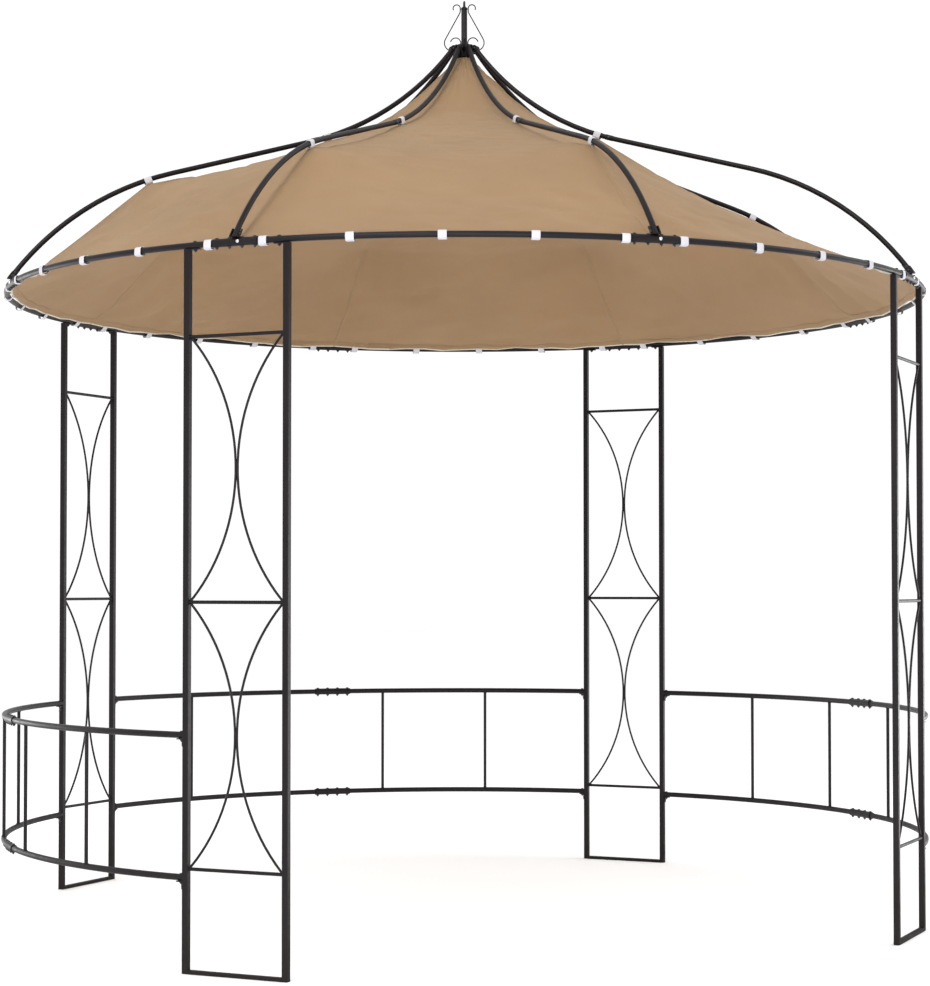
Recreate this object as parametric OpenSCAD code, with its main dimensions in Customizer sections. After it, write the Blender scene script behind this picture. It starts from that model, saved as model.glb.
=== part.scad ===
// Round garden gazebo: four flat ladder columns carry a ring of bent tube, eight S-shaped ribs
// rise from the ring to a hub with a finial, and a cloth canopy is strapped below the ribs.
// Millimetres. +Z is up, the origin is on the ground at the middle of the ring, and the open
// entrance faces -Y. Directions are degrees anticlockwise from +X, seen from above.

/* [Ring] */
// Diameter of the ring, measured over the tube
ring_over = 3000; // [2400:10:3600]
// Height of the ring's centre line above the ground
ring_z = 2001; // [1600:1:2450]
// Diameter of the ring and rail tube
tube_d = 18; // [14:1:25]
// Wall of the joint sleeves slid over the tube
sleeve_wall = 2.5; // [1.5:0.5:5]
// Length of a joint sleeve along the ring
sleeve_len = 140; // [100:5:200]

/* [Columns] */
// Distance between the two post centres of a column
post_pitch = 313; // [250:1:420]
// Side of the square post
post_side = 18; // [14:1:30]
// Height of the lowest crossbar
bar_low_z = 286; // [200:1:400]
// Distance from the top crossbar up to the ring
bar_top_gap = 253; // [150:1:400]
// Diameter of the crossbars
crossbar_d = 10; // [8:0.5:14]
// Height of the bar that joins the two feet
foot_bar_h = 10; // [6:1:20]
// Diameter of the curved rods between the crossbars
bow_d = 7; // [5:0.5:10]

/* [Railings] */
// Height of the upper rail's centre line
rail_high_z = 652; // [500:1:900]
// Height of the lower rail's centre line
rail_low_z = 262; // [150:1:400]
// Diameter of the upright bars
upright_d = 11; // [8:1:16]

/* [Ribs] */
// Diameter of the rib tube
rib_d = 16; // [12:1:22]
// Distance from the axis to a rib's centre line at the hub
rib_hub_r = 38; // [36:1:50]
// Height of a rib's upper end above the ring
rib_rise = 849; // [750:1:1020]
// Distance from the axis to where the straight middle of a rib starts
rib_knee_r = 540; // [450:5:650]
// Height of the rib above the ring there
rib_knee_rise = 501; // [450:1:600]
// Distance inside the ring at which the straight middle ends
rib_hip_in = 501; // [420:1:600]
// Slope of the straight middle, in degrees
rib_slope = 16; // [12:0.5:20]
// How far a rib's foot stands outside the ring's centre line
rib_foot_out = 6; // [0:1:10]

/* [Hub and finial] */
// Diameter of the hub's boss
hub_d = 50; // [40:1:56]
// Height of the hub's boss
hub_h = 42; // [30:1:60]
// Side of the square rod of the finial
rod_side = 19; // [14:1:24]
// Length of that rod above the hub
rod_len = 116; // [80:1:200]
// Diameter of the scroll wire
wire_d = 4; // [3:0.5:6]

/* [Canopy] */
// Thickness of the canopy as a solid
cloth_t = 3; // [2:0.5:5]
// Distance from the axis to the upper row of straps on the ribs
tie_in_r = 476; // [400:1:530]
// Distance inside the ring of the lower row of straps on the ribs
tie_out_in = 423; // [340:1:480]
// How far the canopy hangs below a rib between two straps
seam_sag = 14; // [5:1:30]
// How far it drops at the rib that lacks its lower strap
loose_drop = 158; // [0:1:200]
// How far a panel sags below the straight line between two ribs
panel_sag = 22; // [5:1:40]
// Width of the straps
strap_w = 22; // [15:1:30]
// Thickness of the straps
strap_t = 3; // [1:0.5:4]

/* [Hidden] */

// Finishes
paint = [0.19, 0.17, 0.19];
cloth = [0.69, 0.58, 0.45];
webbing = [0.93, 0.93, 0.92];

// Directions
FRONT = -90;
LEFT = 180;
RIGHT = 0;
BACK = 90;
FRONT_LEFT = -135;
BACK_LEFT = 135;
BACK_RIGHT = 45;
FRONT_RIGHT = -45;
COLUMNS = [FRONT_LEFT, BACK_LEFT, BACK_RIGHT, FRONT_RIGHT];
RAILED = [LEFT, BACK, RIGHT];
rib_step = 45;                          // angle between two ribs
LOOSE = FRONT_RIGHT;                    // the rib that lacks its lower strap

// Fits
seat = 0.3;                             // gap where a round piece rests on another
weld = 0.5;                             // depth by which two welded rods run into each other
far = 4000;                             // a size beyond the whole gazebo

// Ring
ring_r = ring_over / 2 - tube_d / 2;    // centre line of the ring
sleeve_r = tube_d / 2 + seat + sleeve_wall;
joint_gap = 0.6;                        // between two tube ends inside a sleeve
arc_deg = 180 / (PI * ring_r);          // degrees of the ring in one millimetre

// Columns: both post centres lie under the ring
bar_top_z = ring_z - bar_top_gap;
bar_mid_z = (bar_low_z + bar_top_z) / 2;
column_r = sqrt(pow(ring_r, 2) - pow(post_pitch / 2, 2));
clear_w = post_pitch - post_side;       // clear width between the posts
post_top_z = ring_z - tube_d / 2 - seat;
tab = [30, 16, 3];                      // tab at a post's top, along, across and thick

// Railings
half_column = asin(post_pitch / 2 / ring_r);
half_rail = rib_step - half_column;     // from a railing's middle to the post's centre
upright_step = 2 * half_rail / 5;       // four uprights make five equal bays
rail_bracket = [14, 14, 22];            // angle under a rail's end
bracket_t = 3;

// Ribs
cheek = [22, 3, 25];                    // side plates of a rib's foot bracket
foot_plate_t = 3;
rib_foot_r = ring_r + rib_foot_out;
rib_foot_z = ring_z + sleeve_r + seat + foot_plate_t + seat;
rib_hub_z = ring_z + rib_rise;
rib_knee_z = ring_z + rib_knee_rise;
rib_hip_r = ring_r - rib_hip_in;
rib_hip_z = rib_knee_z - (rib_hip_r - rib_knee_r) * tan(rib_slope);
rib_steps = 12;                         // rings along each arc of a rib
rib_sides = 16;
knee_arc = bend(rib_knee_r - rib_hub_r, rib_hub_z - rib_knee_z);
hip_arc = bend(rib_foot_r - rib_hip_r, rib_hip_z - rib_foot_z);
knee_c = [rib_knee_r + knee_arc[0] * sin(rib_slope), rib_knee_z + knee_arc[0] * cos(rib_slope)];
hip_c = [rib_hip_r - hip_arc[0] * sin(rib_slope), rib_hip_z - hip_arc[0] * cos(rib_slope)];
cheek_lean = (cheek[2] - foot_plate_t) / tan(hip_arc[1]);  // the cheeks lean in along the rib

// Hub and finial
hub_top_z = rib_hub_z + 12;
hub_z = hub_top_z - hub_h;
lug_t = 3;                              // plates on both sides of a rib's end
lug_end = [rib_hub_r + 3, hub_top_z - 15];  // centre of a plate's round end
lug_end_r = 10;
rod_top_z = hub_top_z + rod_len;
rod_turn = FRONT_RIGHT / 2;             // the scrolls stand midway between two ribs
cap_d = rod_side + 3;
cap_h = 14;
spike_d = 8;
spike_h = 18;

// Canopy
tie_gap = rib_d / 2 + strap_t + 2 * seat;   // from a rib's centre line to the cloth at a strap
hem_r = ring_r - tube_d / 2 - strap_t - 3 * seat;
tie_out_r = ring_r - tie_out_in;
crown_r = rib_hub_r - 4;
crown_z = hub_z - 14;
inner_rows = 6;                         // rows from the crown to the upper straps
middle_rows = 6;                        // rows from there to the lower straps
outer_rows = 5;                         // rows from there to the hem
panel_cols = 8;                         // columns in one of the eight panels
cols = 8 * panel_cols;
rows = inner_rows + middle_rows + outer_rows;
straps_between = 5;                     // straps between two ribs
strap_first = (sleeve_len / 2 + strap_w / 2 + 5) * arc_deg;     // from a joint to its strap
strap_step = (rib_step - 2 * strap_first) / (straps_between - 1);

// Radius and end slope of an arc that leaves a line of slope rib_slope and ends run mm further
// out or in and rise mm higher or lower
function bend(run, rise) =
    let (half_turn = atan2(rise, run) - rib_slope)
    [norm([run, rise]) / (2 * sin(half_turn)), rib_slope + 2 * half_turn];

// Height and slope of a rib's centre line at distance r from the axis
function rib_z(r) =
    r < rib_knee_r ? knee_c[1] - sqrt(pow(knee_arc[0], 2) - pow(knee_c[0] - r, 2))
    : r < rib_hip_r ? rib_knee_z - (r - rib_knee_r) * tan(rib_slope)
    : hip_c[1] + sqrt(pow(hip_arc[0], 2) - pow(r - hip_c[0], 2));
function rib_dip(r) =
    r < rib_knee_r ? asin((knee_c[0] - r) / knee_arc[0])
    : r < rib_hip_r ? rib_slope
    : asin((r - hip_c[0]) / hip_arc[0]);

// Points of an arc round centre c, from angle a to b in n steps, for a swept bar; the bar turns
// clockwise when b is less than a
function arc_path(c, r, a, b, n) =
    [for (k = [0:n]) let (g = a + (b - a) * k / n)
        [c[0] + r * cos(g), c[1] + r * sin(g), b < a ? 90 - g : 270 - g]];

// The canopy's seam below the rib in direction dir, out to the lower straps
function loose(dir) = dir == LOOSE ? loose_drop : 0;
function seam_z(dir, r) =
    let (s = r < tie_in_r ? (r - crown_r) / (tie_in_r - crown_r)
                          : (r - tie_in_r) / (tie_out_r - tie_in_r))
    r <= crown_r ? crown_z
    : rib_z(r) - tie_gap / cos(rib_dip(r)) - seam_sag * sin(180 * s)
        - (r < tie_in_r ? 0 : loose(dir) * s);
function row_r(i) =
    i <= inner_rows ? crown_r + (tie_in_r - crown_r) * i / inner_rows
    : tie_in_r + (tie_out_r - tie_in_r) * (i - inner_rows) / middle_rows;
function turned(dir, r, z) = [r * cos(dir), r * sin(dir), z];

// A point of the canopy's upper face: row i counts outwards from the crown, column j round it
function panel_point(i, j) =
    let (k = floor(j / panel_cols), t = j / panel_cols - k,
         a = FRONT + rib_step * k, b = a + rib_step, r = row_r(i))
    (1 - t) * turned(a, r, seam_z(norm_dir(a), r)) + t * turned(b, r, seam_z(norm_dir(b), r))
        - [0, 0, panel_sag * 4 * t * (1 - t) * i / (inner_rows + middle_rows)];
function norm_dir(a) = a > 180 ? a - 360 : a;
function cloth_point(i, j) =
    let (bend_row = inner_rows + middle_rows)
    i <= bend_row ? panel_point(i, j)
    : let (u = (i - bend_row) / outer_rows, dir = FRONT + 360 * j / cols)
      (1 - u) * panel_point(bend_row, j) + u * turned(dir, hem_r, ring_z);

// A tube bent to an arc in the XY plane round the origin, from angle a to angle b
module bent_tube(r, d, a, b) {
    rotate([0, 0, a])
        rotate_extrude(angle = b - a, $fn = 180)
            translate([r, 0]) circle(d = d, $fn = 24);
}

// A round bar along a path in the XZ plane. Each point of the path is [x, z, dip], where dip is
// the angle below +X in which the bar runs there. A foot_z cuts the bar's far end level.
module swept_bar(path, d, sides, foot_z = undef) {
    last = len(path) - 1;
    points = [for (k = [0:last], s = [0:sides - 1])
        let (p = path[k], a = 360 * s / sides,
             x = p[0] + d / 2 * cos(a) * sin(p[2]), z = p[1] + d / 2 * cos(a) * cos(p[2]),
             slip = k == last && !is_undef(foot_z) ? (z - foot_z) / sin(p[2]) : 0)
        [x + slip * cos(p[2]), d / 2 * sin(a), z - slip * sin(p[2])]];
    faces = concat(
        [[for (s = [0:sides - 1]) s], [for (s = [sides - 1:-1:0]) last * sides + s]],
        [for (k = [0:last - 1], s = [0:sides - 1]) let (t = (s + 1) % sides)
            [k * sides + s, (k + 1) * sides + s, (k + 1) * sides + t, k * sides + t]]);
    polyhedron(points, faces);
}

// Places children at a column: X outwards, Y along the panel, Z up
module at_column(dir) {
    rotate([0, 0, dir]) translate([column_r, 0, 0]) children();
}

// One square post; side is -1 for the clockwise one and 1 for the other
module post(dir, side) {
    color(paint) at_column(dir)
        translate([-post_side / 2, side * post_pitch / 2 - post_side / 2, 0])
            cube([post_side, post_side, post_top_z]);
}

// Two bows back to back between two crossbars, welded where they meet
module bow_pair(z0, z1) {
    half = (z1 - z0) / 2;
    reach = clear_w / 2 - bow_d / 2 + weld;
    r = (pow(half, 2) + pow(reach, 2)) / (2 * reach);
    turn = asin(half / r);
    for (side = [-1, 1])
        translate([0, side * (r + bow_d / 2 - weld), z0 + half])
            rotate([90, 0, -side * 90]) bent_tube(r, bow_d, -turn, turn);
}

// Crossbars, bows and foot bar of one column
module lattice(dir) {
    color(paint) at_column(dir) intersection() {
        union() {
            for (z = [bar_low_z, bar_mid_z, bar_top_z])
                translate([0, clear_w / 2, z]) rotate([90, 0, 0])
                    cylinder(d = crossbar_d, h = clear_w, $fn = 24);
            bow_pair(bar_low_z, bar_mid_z);
            bow_pair(bar_mid_z, bar_top_z);
            translate([-post_side / 2, -clear_w / 2, 0])
                cube([post_side, clear_w, foot_bar_h]);
        }
        translate([-post_side, -clear_w / 2, 0])
            cube([2 * post_side, clear_w, bar_top_z + crossbar_d]);
    }
}

// Tabs at the posts' tops, bolted up against the ring
module post_tabs() {
    color(paint) for (dir = COLUMNS, side = [-1, 1])
        at_column(dir)
            translate([-tab[1] / 2, side * (clear_w / 2 - tab[0] / 2) - tab[0] / 2,
                       post_top_z - tab[2]])
                cube([tab[1], tab[0], tab[2]]);
}

// One of the eight bent tubes of the ring; k counts anticlockwise from the front
module ring_segment(k) {
    a = FRONT + rib_step * k + joint_gap / 2 * arc_deg;
    color(paint) translate([0, 0, ring_z])
        bent_tube(ring_r, tube_d, a, a + rib_step - joint_gap * arc_deg);
}

// A sleeve round the tube, centred on direction dir at height z
module sleeve(dir, z) {
    half = sleeve_len / 2 * arc_deg;
    translate([0, 0, z]) rotate([0, 0, dir - half])
        rotate_extrude(angle = 2 * half, $fn = 180) translate([ring_r, 0])
            difference() {
                circle(r = sleeve_r, $fn = 24);
                circle(d = tube_d + 2 * seat, $fn = 24);
            }
}

module ring_sleeves() {
    color(paint) for (k = [0:7]) sleeve(FRONT + rib_step * k, ring_z);
}

// A railing tube in two halves that meet in the sleeve at dir and end on the posts' faces
module rail(dir, z) {
    color(paint) for (side = [-1, 1]) difference() {
        translate([0, 0, z]) rotate([0, 0, dir])
            bent_tube(ring_r, tube_d,
                      side > 0 ? joint_gap / 2 * arc_deg : -half_rail,
                      side > 0 ? half_rail : -joint_gap / 2 * arc_deg);
        at_column(dir + side * rib_step)
            translate([-far / 2, side > 0 ? -post_pitch / 2 - post_side / 2 : -far / 4, 0])
                cube([far, far / 4 + post_pitch / 2 + post_side / 2, ring_z]);
    }
}

// Four upright bars between the two rails
module uprights(dir) {
    z = rail_low_z + tube_d / 2 + seat;
    color(paint) for (k = [-1.5:1:1.5])
        rotate([0, 0, dir + k * upright_step]) translate([ring_r, 0, z])
            cylinder(d = upright_d, h = rail_high_z - rail_low_z - tube_d - 2 * seat, $fn = 24);
}

module rail_sleeves() {
    color(paint) for (dir = RAILED, z = [rail_low_z, rail_high_z]) sleeve(dir, z);
}

// Angles screwed to the posts, each with its leg up the post and its shelf under a rail's end
module rail_brackets() {
    color(paint) for (dir = RAILED, side = [-1, 1], z = [rail_low_z, rail_high_z])
        at_column(dir + side * rib_step) mirror([0, side > 0 ? 1 : 0, 0])
            translate([-rail_bracket[1] / 2, post_pitch / 2 + post_side / 2,
                       z - tube_d / 2 - seat - rail_bracket[2]])
                difference() {
                    cube([rail_bracket[1], rail_bracket[0] + 6, rail_bracket[2]]);
                    translate([-1, bracket_t, -1])
                        cube([rail_bracket[1] + 2, far, rail_bracket[2] - bracket_t + 1]);
                }
}

// One rib: an arc from the hub, a straight middle and an arc down to its foot
module rib(dir) {
    path = concat(
        arc_path(knee_c, knee_arc[0], 270 - knee_arc[1], 270 - rib_slope, rib_steps),
        arc_path(hip_c, hip_arc[0], 90 - rib_slope, 90 - hip_arc[1], rib_steps));
    color(paint) rotate([0, 0, dir]) swept_bar(path, rib_d, rib_sides, rib_foot_z);
}

// Foot brackets: a plate on the ring's sleeve and a cheek on each side of the rib
module rib_brackets() {
    base_z = ring_z + sleeve_r + seat;
    wide = rib_d + 2 * seat + 2 * cheek[1];
    color(paint) for (k = [0:7])
        rotate([0, 0, FRONT + rib_step * k]) translate([rib_foot_r, 0, base_z]) {
            translate([-cheek[0] / 2, -wide / 2, 0]) cube([cheek[0], wide, foot_plate_t]);
            for (side = [-1, 1])
                translate([0, side * (wide / 2 - cheek[1] / 2) + cheek[1] / 2, 0])
                    rotate([90, 0, 0]) linear_extrude(cheek[1]) polygon([
                        [-cheek[0] / 2, 0], [cheek[0] / 2, 0],
                        [cheek[0] / 2, foot_plate_t], [cheek[0] / 2 - cheek_lean, cheek[2]],
                        [-cheek[0] / 2 - cheek_lean, cheek[2]], [-cheek[0] / 2, foot_plate_t]]);
        }
}

// Boss with two plates for each rib, one on each side of the rib's end
module hub() {
    color(paint) {
        translate([0, 0, hub_z]) cylinder(d = hub_d, h = hub_h, $fn = 48);
        for (k = [0:7], side = [-1, 1])
            rotate([0, 0, FRONT + rib_step * k])
                translate([0, side * (rib_d / 2 + seat + lug_t / 2) + lug_t / 2, 0])
                    rotate([90, 0, 0]) linear_extrude(lug_t) {
                        translate(lug_end) circle(lug_end_r, $fn = 32);
                        translate([hub_d / 4, lug_end[1] - lug_end_r])
                            square([lug_end[0] - hub_d / 4, 2 * lug_end_r]);
                    }
    }
}

// Square rod with a turned cap and spike
module finial() {
    color(paint) {
        rotate([0, 0, rod_turn]) translate([-rod_side / 2, -rod_side / 2, hub_top_z])
            cube([rod_side, rod_side, rod_len]);
        translate([0, 0, rod_top_z]) rotate_extrude($fn = 48) polygon([
            [0, 0], [cap_d / 2 - 2, 0], [cap_d / 2, 4], [cap_d / 2, cap_h - 6],
            [spike_d / 2, cap_h], [spike_d / 2, cap_h + spike_h - 6],
            [spike_d / 4, cap_h + spike_h], [0, cap_h + spike_h]]);
    }
}

// One scroll in the XZ plane: hook at the top, long leg, and a curl at the foot. The curl is
// welded between two ribs' plates and starts again on the boss, where it touches the rod.
module scroll() {
    inner_x = rod_side / 2 + wire_d / 2 + seat;
    hook_x = cap_d / 2 + wire_d / 2 + seat;
    curl_c = [39, hub_top_z + 8];
    curl_r = curl_c[0] - inner_x;
    end_r = 17;
    lean = 61;                          // slope of the long leg, in degrees
    ease_r = 20;                        // bend between the leg and the hook's upright
    ease_x = hook_x + ease_r;
    leg = (curl_c[0] + curl_r * sin(lean) - ease_x + ease_r * sin(lean)) / cos(lean);
    ease_z = curl_c[1] + (curl_r + ease_r) * cos(lean) + leg * sin(lean);
    hook_r = 12;
    rise = 8;
    plates_r = (rib_d / 2 + lug_t + wire_d / 2 + 2 * seat) / sin(rib_step / 2);
    weld_turn = acos((curl_c[0] - plates_r) / curl_r);
    top_turn = asin((curl_c[1] - hub_top_z - 1) / curl_r);
    outer = concat(
        arc_path([hook_x + hook_r, ease_z + rise], hook_r, -30, 180, 14),
        arc_path([ease_x, ease_z], ease_r, 180, 270 - lean, 3),
        arc_path(curl_c, curl_r, 90 - lean, weld_turn - 180, 10));
    inner = concat(
        arc_path(curl_c, curl_r, top_turn - 180, -180, 2),
        arc_path([inner_x + end_r, curl_c[1]], end_r, 174, 10, 9));
    swept_bar(outer, wire_d, 8);
    swept_bar(inner, wire_d, 8);
}

module scrolls() {
    color(paint) for (k = [0:3]) rotate([0, 0, rod_turn + 90 * k]) scroll();
}

// The canopy as a thin closed shell of eight panels
module canopy() {
    upper = [for (i = [0:rows], j = [0:cols - 1]) cloth_point(i, j)];
    lower = [for (p = upper) p - [0, 0, cloth_t]];
    n = len(upper);
    crown = [[0, 0, crown_z], [0, 0, crown_z - cloth_t]];
    function at(i, j) = i * cols + j % cols;
    faces = [
        for (j = [0:cols - 1]) [2 * n, at(0, j + 1), at(0, j)],
        for (j = [0:cols - 1]) [2 * n + 1, n + at(0, j), n + at(0, j + 1)],
        for (i = [0:rows - 1], j = [0:cols - 1]) each [
            [at(i, j), at(i, j + 1), at(i + 1, j + 1)],
            [at(i, j), at(i + 1, j + 1), at(i + 1, j)],
            [n + at(i, j), n + at(i + 1, j + 1), n + at(i, j + 1)],
            [n + at(i, j), n + at(i + 1, j), n + at(i + 1, j + 1)]],
        for (j = [0:cols - 1]) each [
            [at(rows, j), at(rows, j + 1), n + at(rows, j + 1)],
            [at(rows, j), n + at(rows, j + 1), n + at(rows, j)]]
    ];
    color(cloth) polyhedron(concat(upper, lower, crown), faces);
}

// A strap wrapped round a tube of diameter d that runs along X
module strap(d) {
    rotate([0, 90, 0]) difference() {
        cylinder(d = d + 2 * strap_t, h = strap_w, center = true, $fn = 24);
        cylinder(d = d + 4 * seat, h = strap_w + 2, center = true, $fn = 24);
    }
}

module ring_straps() {
    color(webbing) for (k = [0:7], s = [0:straps_between - 1])
        rotate([0, 0, FRONT + rib_step * k + strap_first + strap_step * s])
            translate([ring_r, 0, ring_z]) rotate([0, 0, 90]) strap(tube_d);
}

module rib_straps() {
    color(webbing) for (k = [0:7], r = [tie_in_r, tie_out_r]) {
        dir = norm_dir(FRONT + rib_step * k);
        if (!(dir == LOOSE && r == tie_out_r))
            rotate([0, 0, dir]) translate([r, 0, rib_z(r)]) rotate([0, rib_dip(r), 0])
                strap(rib_d);
    }
}

post(FRONT_LEFT, -1);  // post_front_left_a
post(FRONT_LEFT, 1);  // post_front_left_b
post(BACK_LEFT, -1);  // post_back_left_a
post(BACK_LEFT, 1);  // post_back_left_b
post(BACK_RIGHT, -1);  // post_back_right_a
post(BACK_RIGHT, 1);  // post_back_right_b
post(FRONT_RIGHT, -1);  // post_front_right_a
post(FRONT_RIGHT, 1);  // post_front_right_b
lattice(FRONT_LEFT);  // lattice_front_left
lattice(BACK_LEFT);  // lattice_back_left
lattice(BACK_RIGHT);  // lattice_back_right
lattice(FRONT_RIGHT);  // lattice_front_right
ring_segment(0);  // ring_1
ring_segment(1);  // ring_2
ring_segment(2);  // ring_3
ring_segment(3);  // ring_4
ring_segment(4);  // ring_5
ring_segment(5);  // ring_6
ring_segment(6);  // ring_7
ring_segment(7);  // ring_8
ring_sleeves();
post_tabs();
rail(LEFT, rail_high_z);  // rail_high_left
rail(LEFT, rail_low_z);  // rail_low_left
uprights(LEFT);  // uprights_left
rail(BACK, rail_high_z);  // rail_high_back
rail(BACK, rail_low_z);  // rail_low_back
uprights(BACK);  // uprights_back
rail(RIGHT, rail_high_z);  // rail_high_right
rail(RIGHT, rail_low_z);  // rail_low_right
uprights(RIGHT);  // uprights_right
rail_sleeves();
rail_brackets();
rib(FRONT);  // rib_front
rib(FRONT_RIGHT);  // rib_front_right
rib(RIGHT);  // rib_right
rib(BACK_RIGHT);  // rib_back_right
rib(BACK);  // rib_back
rib(BACK_LEFT);  // rib_back_left
rib(LEFT);  // rib_left
rib(FRONT_LEFT);  // rib_front_left
rib_brackets();
hub();
finial();
scrolls();
canopy();
ring_straps();
rib_straps();
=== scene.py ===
"""Looks of the round gazebo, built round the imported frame: finishes, the cloth canopy with its
seams and stitches, hook-and-loop straps, bolts and welds. Metres, +Z up, entrance towards -Y."""

import math
import random

import bmesh
import bpy
from mathutils import Matrix, Vector, noise
from mathutils.bvhtree import BVHTree


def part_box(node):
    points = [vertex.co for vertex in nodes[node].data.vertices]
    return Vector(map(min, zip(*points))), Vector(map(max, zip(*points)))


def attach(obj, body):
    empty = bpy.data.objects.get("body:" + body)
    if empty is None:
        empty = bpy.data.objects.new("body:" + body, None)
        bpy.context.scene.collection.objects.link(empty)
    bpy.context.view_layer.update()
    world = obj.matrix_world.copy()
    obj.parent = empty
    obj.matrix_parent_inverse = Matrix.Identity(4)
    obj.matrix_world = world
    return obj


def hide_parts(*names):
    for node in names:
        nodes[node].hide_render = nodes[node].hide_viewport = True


UP = Vector((0, 0, 1))
MM = 0.001
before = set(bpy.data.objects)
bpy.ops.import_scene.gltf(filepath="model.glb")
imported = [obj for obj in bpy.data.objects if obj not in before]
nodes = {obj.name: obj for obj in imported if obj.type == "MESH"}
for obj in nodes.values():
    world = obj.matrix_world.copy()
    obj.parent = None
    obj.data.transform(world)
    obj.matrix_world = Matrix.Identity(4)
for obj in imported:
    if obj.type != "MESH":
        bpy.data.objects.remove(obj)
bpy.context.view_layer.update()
rng = random.Random(11)


# ---------------------------------------------------------------- camera, light and floor

CAMERA_AT = (-2.6305, -7.1301, 1.0558)
CAMERA_TURN = -19.913               # degrees from +Y, clockwise seen from above
CAMERA_PITCH = 1.564                # degrees up
LENS_MM = 83.86
SHIFT = (0.0144, 0.0328)
BACKDROP = (0.95, 0.95, 0.95)


def add_camera():
    data = bpy.data.cameras.new("camera")
    data.lens = LENS_MM
    data.sensor_width = 36
    data.shift_x, data.shift_y = SHIFT
    data.clip_end = 200
    cam = bpy.data.objects.new("camera", data)
    cam.location = CAMERA_AT
    cam.rotation_euler = (math.radians(90 + CAMERA_PITCH), 0, math.radians(CAMERA_TURN))
    bpy.context.scene.collection.objects.link(cam)
    bpy.context.scene.camera = cam


def add_light(name, at, aim, power, size, seen=True):
    data = bpy.data.lights.new(name, "AREA")
    data.energy = power
    data.shape = "DISK"
    data.size = size
    lamp = bpy.data.objects.new(name, data)
    lamp.location = at
    lamp.visible_camera = seen
    lamp.rotation_euler = (Vector(aim) - Vector(at)).to_track_quat("-Z", "Y").to_euler()
    bpy.context.scene.collection.objects.link(lamp)


def add_stage():
    world = bpy.data.worlds.new("studio")
    bpy.context.scene.world = world
    world.use_nodes = True
    sky = world.node_tree.nodes["Background"]
    sky.inputs["Color"].default_value = (1, 1, 1, 1)
    sky.inputs["Strength"].default_value = 1.05
    add_light("key", (-5.0, -6.0, 7.0), (0, 0, 1.8), 380, 4.0)
    add_light("side", (6.5, -2.0, 5.0), (0, 0, 1.5), 120, 4.0)
    for k in range(3):
        turn = math.radians(-110 + 120 * k)
        low = (5.5 * math.cos(turn), 5.5 * math.sin(turn), 0.4)
        add_light("fill_%d" % k, low, (0, 0, 2.3), 115, 3.0, False)
    paper = bpy.data.materials.new("backdrop_paper")
    paper.use_nodes = True
    skin = paper.node_tree.nodes["Principled BSDF"]
    skin.inputs["Base Color"].default_value = (*BACKDROP, 1)
    skin.inputs["Roughness"].default_value = 0.9
    bm = bmesh.new()
    bmesh.ops.create_circle(bm, cap_ends=True, radius=60, segments=64)
    mesh = bpy.data.meshes.new("floor")
    bm.to_mesh(mesh)
    bm.free()
    mesh.materials.append(paper)
    floor = bpy.data.objects.new("floor", mesh)
    floor.location.z = -0.0005
    bpy.context.scene.collection.objects.link(floor)
    bpy.context.scene.view_settings.view_transform = "Standard"


add_camera()
add_stage()


# ---------------------------------------------------------------- reading the frame


def islands(node):
    """The separate solids of a CAD node, each as a list of its points."""
    bm = bmesh.new()
    bm.from_mesh(nodes[node].data)
    bmesh.ops.remove_doubles(bm, verts=bm.verts, dist=1e-5)
    bm.verts.ensure_lookup_table()
    seen, found = set(), []
    for start in bm.verts:
        if start.index in seen:
            continue
        seen.add(start.index)
        stack, points = [start], []
        while stack:
            v = stack.pop()
            points.append(v.co.copy())
            for e in v.link_edges:
                w = e.other_vert(v)
                if w.index not in seen:
                    seen.add(w.index)
                    stack.append(w)
        found.append(points)
    bm.free()
    return found


def middle(points):
    """Middle of the box round some points."""
    return Vector((min(p[k] for p in points) + max(p[k] for p in points)) / 2 for k in range(3))


def heading(p):
    """Direction of a point from the axis, in degrees from +X."""
    return math.degrees(math.atan2(p.y, p.x))


def around(deg, r, z):
    a = math.radians(deg)
    return Vector((r * math.cos(a), r * math.sin(a), z))


def flat_radius(p):
    return math.hypot(p.x, p.y)


def turn_between(a, b):
    """Angle from b to a in degrees, between -180 and 180."""
    return (a - b + 180) % 360 - 180


def nearest(deg, choices):
    return min(choices, key=lambda d: abs(turn_between(deg, d)))


def out_from(deg):
    return around(deg, 1, 0)


def along_from(deg):
    """Direction along the ring, anticlockwise seen from above."""
    return around(deg + 90, 1, 0)


tube_low, tube_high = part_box("ring_2")
TUBE_D = tube_high.z - tube_low.z
RING_Z = (tube_low.z + tube_high.z) / 2
RING_R = tube_high.x - TUBE_D / 2
SLEEVE_R = (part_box("ring_sleeves")[1].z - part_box("ring_sleeves")[0].z) / 2
RIB_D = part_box("rib_front")[1].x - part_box("rib_front")[0].x
RIB_STEP = 45
RIB_DIRS = [-90 + RIB_STEP * k for k in range(8)]


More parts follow.
